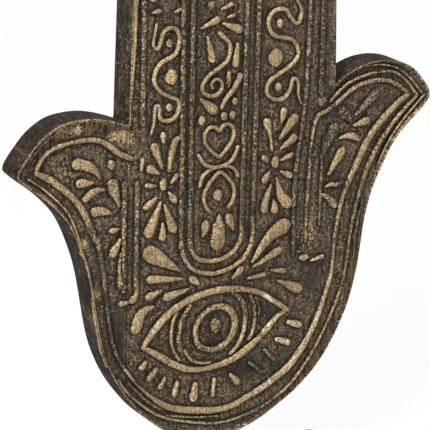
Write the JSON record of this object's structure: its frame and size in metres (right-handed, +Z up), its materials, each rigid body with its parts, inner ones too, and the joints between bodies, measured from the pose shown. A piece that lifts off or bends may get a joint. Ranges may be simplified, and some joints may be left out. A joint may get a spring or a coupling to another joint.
{
  "type": "hamsa hand ornament",
  "caption": "Free-standing carved wooden hamsa hand with out-turned thumbs, eye, scrolls and flower drops, on a rod in a flat base plate.",
  "frame": {"origin": "middle of the base's underside, on the table", "axes": "+X across the hand, to the right of someone who looks at the carved face; -Y the way the carved face looks; +Z up towards the fingers"},
  "size_m": [0.264, 0.064, 0.3992],
  "materials": {
    "carved_wood": "dark brown stain, gold rubbed over the raised carving",
    "dowel_wood": "plain beech",
    "base_paint": "matt grey",
    "rod_steel": "dark brushed",
    "screw_steel": "zinc plated",
    "pad_felt": "black felt"
  },
  "bodies": {
    "stand": {"base_plate": "base_paint", "base_pads": "pad_felt", "stand_rod": "rod_steel", "rod_screw": "screw_steel"},
    "hand": {"hand_centre_board": "carved_wood", "left_thumb_board": "carved_wood", "right_thumb_board": "carved_wood", "board_dowels": "dowel_wood"}
  },
  "joints": [
    {"name": "hand_turn", "type": "hinge", "parent": "stand", "child": "hand", "pos_m": [0, 0, 0.06], "axis": [0, 0, 1], "continuous": true}
  ]
}
